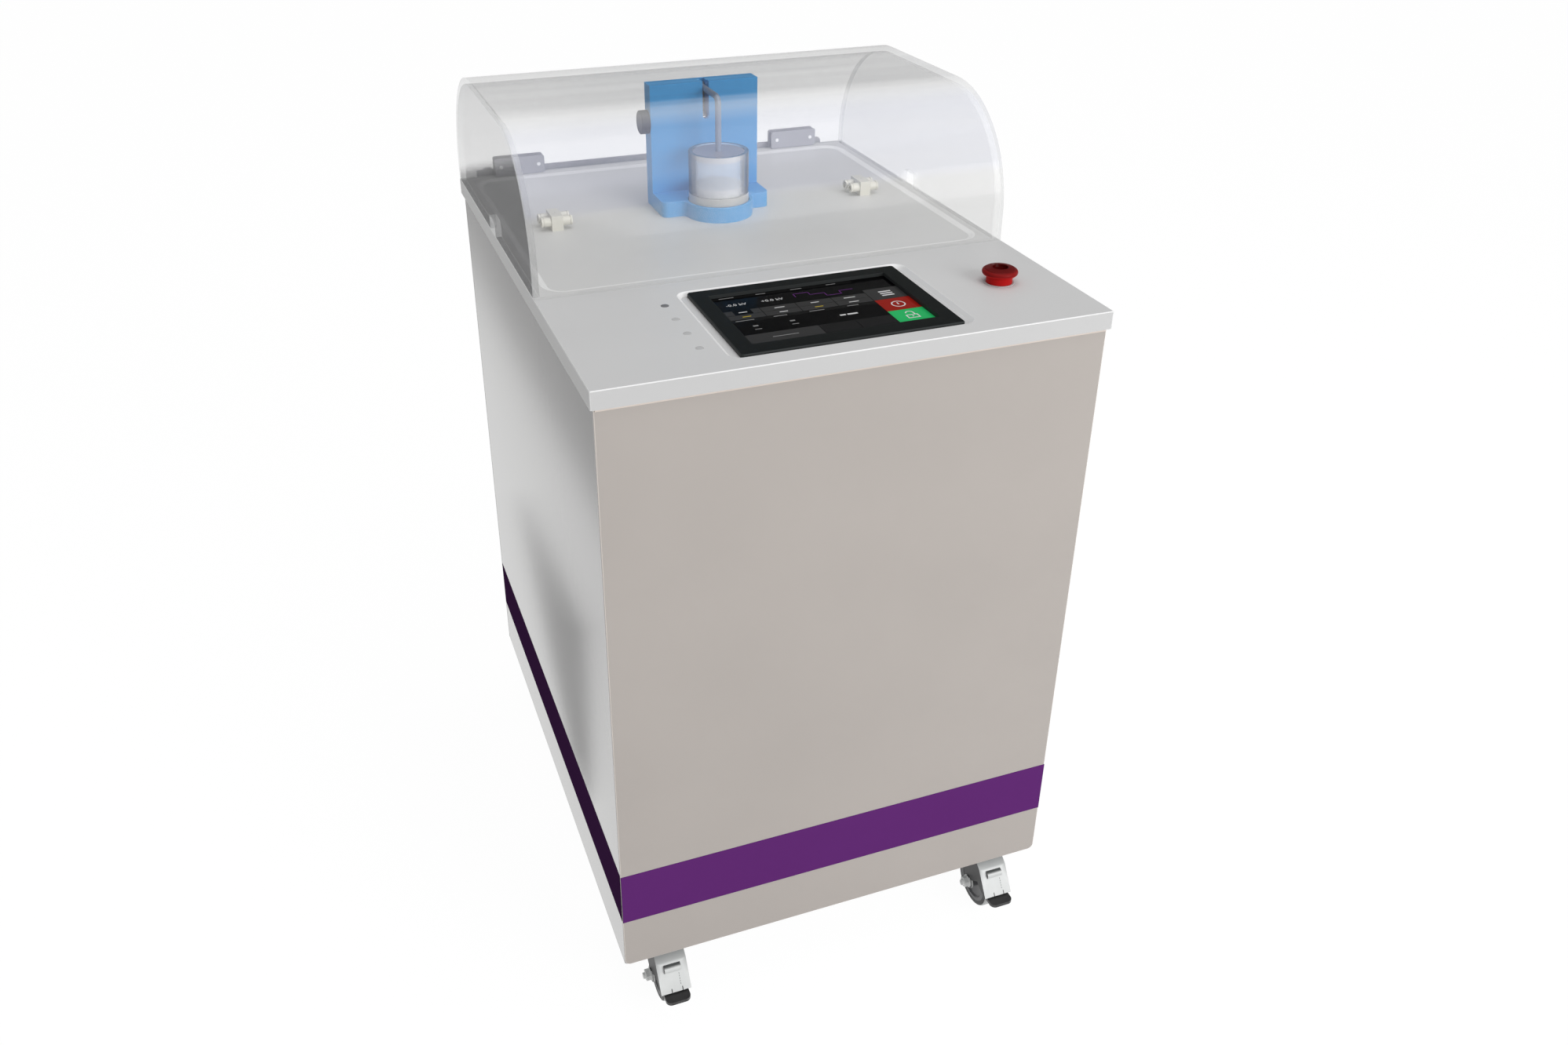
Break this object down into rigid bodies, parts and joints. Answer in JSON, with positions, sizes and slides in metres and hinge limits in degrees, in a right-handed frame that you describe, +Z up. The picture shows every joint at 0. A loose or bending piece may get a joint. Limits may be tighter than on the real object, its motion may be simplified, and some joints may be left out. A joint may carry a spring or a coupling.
{
  "type": "electroporator",
  "caption": "Floor-standing pulsed-field electroporator cabinet on braked casters, with a clear hinged hood over a glass treatment chamber, a touch panel and a stop button.",
  "frame": {"origin": "on the floor under the middle of the cabinet", "axes": "+X to the right, -Y to the front, +Z up"},
  "size_m": [0.6, 0.8092, 1.0875],
  "materials": {
    "cover_paint": "satin paint",
    "front_paint": "satin warm grey powder coat",
    "side_paint": "glossier light grey paint",
    "inner_metal": "plain sheet metal",
    "band_film": "plain purple film",
    "frame_paint": "grey primer",
    "bezel_black": "satin black",
    "screen_glass": "gloss",
    "light_lens": "frosted lens",
    "barrel_black": "matt",
    "stop_red": "moulded red",
    "stand_blue": "machined blue plastic",
    "electrode_steel": "turned",
    "rod_steel": "ground",
    "chamber_glass": "clear",
    "gear_steel": "cut",
    "knob_grey": "turned grey plastic",
    "fitting_cream": "moulded cream plastic",
    "hinge_metal": "matt anodised",
    "screw_steel": "plain",
    "hood_clear": "clear, polished edges",
    "potted_module": "black potting",
    "capacitor_can": "moulded film-capacitor can",
    "supply_case": "plain case",
    "board_green": "coated board",
    "lead_sleeve": "silicone sleeve",
    "fan_black": "moulded black",
    "inlet_black": "moulded black",
    "caster_zinc": "zinc-plated pressing",
    "hub_grey": "moulded grey",
    "tyre_grey": "light grey tread with dark flanks",
    "pedal_black": "moulded black, bare"
  },
  "bodies": {
    "cabinet": {"top_cover": "cover_paint", "front_panel": "front_paint", "left_panel": "side_paint", "right_panel": "side_paint", "rear_panel": "side_paint", "bottom_panel": "inner_metal", "stripe_band": "band_film", "frame": "frame_paint", "touch_bezel": "bezel_black", "touch_screen": "screen_glass", "touch_housing": "inner_metal", "status_lights": "light_lens", "estop_barrel": "barrel_black", "stand_base": "stand_blue", "stand_front_plate": "stand_blue", "stand_middle_plate": "stand_blue", "stand_rear_plate": "stand_blue", "lower_electrode": "electrode_steel", "fitting_left": "fitting_cream", "fitting_right": "fitting_cream", "hinge_rail": "hinge_metal", "pulse_generator": "potted_module", "capacitor_bank": "capacitor_can", "power_supply": "supply_case", "control_board": "board_green", "hv_lead": "lead_sleeve", "fan_shroud": "fan_black", "mains_inlet": "inlet_black", "caster_plates": "caster_zinc"},
    "hood": {"hood_canopy": "hood_clear", "hood_end_left": "hood_clear", "hood_end_right": "hood_clear", "hinge_clamps": "hinge_metal", "hinge_screws": "screw_steel"},
    "stop_plunger": {"estop_stem": "barrel_black"},
    "stop_head": {"estop_head": "stop_red"},
    "electrode_slide": {"upper_electrode": "electrode_steel", "electrode_rod": "rod_steel", "lift_rack": "gear_steel"},
    "lift_drive": {"pinion_shaft": "gear_steel", "lift_knob": "knob_grey"},
    "glass": {"glass_cylinder": "chamber_glass"},
    "fan": {"fan_rotor": "fan_black"},
    "power_rocker": {"mains_switch": "inlet_black"},
    "caster_fl": {"caster_fl_fork": "caster_zinc"},
    "wheel_fl": {"caster_fl_hub": "hub_grey", "caster_fl_tyre": "tyre_grey"},
    "pedal_fl": {"caster_fl_pedal": "pedal_black"},
    "caster_fr": {"caster_fr_fork": "caster_zinc"},
    "wheel_fr": {"caster_fr_hub": "hub_grey", "caster_fr_tyre": "tyre_grey"},
    "pedal_fr": {"caster_fr_pedal": "pedal_black"},
    "caster_rl": {"caster_rl_fork": "caster_zinc"},
    "wheel_rl": {"caster_rl_hub": "hub_grey", "caster_rl_tyre": "tyre_grey"},
    "pedal_rl": {"caster_rl_pedal": "pedal_black"},
    "caster_rr": {"caster_rr_fork": "caster_zinc"},
    "wheel_rr": {"caster_rr_hub": "hub_grey", "caster_rr_tyre": "tyre_grey"},
    "pedal_rr": {"caster_rr_pedal": "pedal_black"}
  },
  "joints": [
    {"name": "hood_hinge", "type": "hinge", "parent": "cabinet", "child": "hood", "pos_m": [0, 0.383, 0.9165], "axis": [-1, 0, 0], "range_deg": [0, 95]},
    {"name": "stop_press", "type": "slide", "parent": "cabinet", "child": "stop_plunger", "axis": [0, 0, -1], "range_m": [0, 0.004], "stiffness_N_per_m": 1500, "springref_m": -0.003},
    {"name": "stop_twist", "type": "hinge", "parent": "stop_plunger", "child": "stop_head", "pos_m": [0.224, -0.253, 0.9125], "axis": [0, 0, -1], "range_deg": [0, 45]},
    {"name": "electrode_lift", "type": "slide", "parent": "cabinet", "child": "electrode_slide", "axis": [0, 0, 1], "range_m": [-0.028, 0.008]},
    {"name": "knob_turn", "type": "hinge", "parent": "cabinet", "child": "lift_drive", "pos_m": [-0.08, 0.1675, 1.025], "axis": [1, 0, 0], "range_deg": [-268, 77]},
    {"name": "glass_lift", "type": "slide", "parent": "cabinet", "child": "glass", "axis": [0, 0, 1], "range_m": [0, 0.058]},
    {"name": "fan_spin", "type": "hinge", "parent": "cabinet", "child": "fan", "pos_m": [0, 0.357, 0.66], "axis": [0, 1, 0], "continuous": true},
    {"name": "power_rock", "type": "hinge", "parent": "cabinet", "child": "power_rocker", "pos_m": [0.2, 0.3674, 0.2075], "axis": [1, 0, 0], "range_deg": [-14, 0]},
    {"name": "swivel_fl", "type": "hinge", "parent": "cabinet", "child": "caster_fl", "pos_m": [-0.2355, -0.313, 0.09], "axis": [0, 0, 1], "continuous": true},
    {"name": "roll_fl", "type": "hinge", "parent": "caster_fl", "child": "wheel_fl", "pos_m": [-0.2355, -0.343, 0.0375], "axis": [1, 0, 0], "continuous": true},
    {"name": "brake_fl", "type": "hinge", "parent": "caster_fl", "child": "pedal_fl", "pos_m": [-0.2355, -0.3826, 0.0505], "axis": [1, 0, 0], "range_deg": [0, 9]},
    {"name": "swivel_fr", "type": "hinge", "parent": "cabinet", "child": "caster_fr", "pos_m": [0.2355, -0.313, 0.09], "axis": [0, 0, 1], "continuous": true},
    {"name": "roll_fr", "type": "hinge", "parent": "caster_fr", "child": "wheel_fr", "pos_m": [0.2355, -0.343, 0.0375], "axis": [1, 0, 0], "continuous": true},
    {"name": "brake_fr", "type": "hinge", "parent": "caster_fr", "child": "pedal_fr", "pos_m": [0.2355, -0.3826, 0.0505], "axis": [1, 0, 0], "range_deg": [0, 9]},
    {"name": "swivel_rl", "type": "hinge", "parent": "cabinet", "child": "caster_rl", "pos_m": [-0.2355, 0.313, 0.09], "axis": [0, 0, 1], "continuous": true},
    {"name": "roll_rl", "type": "hinge", "parent": "caster_rl", "child": "wheel_rl", "pos_m": [-0.2355, 0.343, 0.0375], "axis": [1, 0, 0], "continuous": true},
    {"name": "brake_rl", "type": "hinge", "parent": "caster_rl", "child": "pedal_rl", "pos_m": [-0.2355, 0.3826, 0.0505], "axis": [-1, 0, 0], "range_deg": [0, 9]},
    {"name": "swivel_rr", "type": "hinge", "parent": "cabinet", "child": "caster_rr", "pos_m": [0.2355, 0.313, 0.09], "axis": [0, 0, 1], "continuous": true},
    {"name": "roll_rr", "type": "hinge", "parent": "caster_rr", "child": "wheel_rr", "pos_m": [0.2355, 0.343, 0.0375], "axis": [1, 0, 0], "continuous": true},
    {"name": "brake_rr", "type": "hinge", "parent": "caster_rr", "child": "pedal_rr", "pos_m": [0.2355, 0.3826, 0.0505], "axis": [-1, 0, 0], "range_deg": [0, 9]}
  ],
  "couplings": [
    {"joint": "knob_turn", "follows": "electrode_lift", "rad_per_m": 166.67}
  ]
}
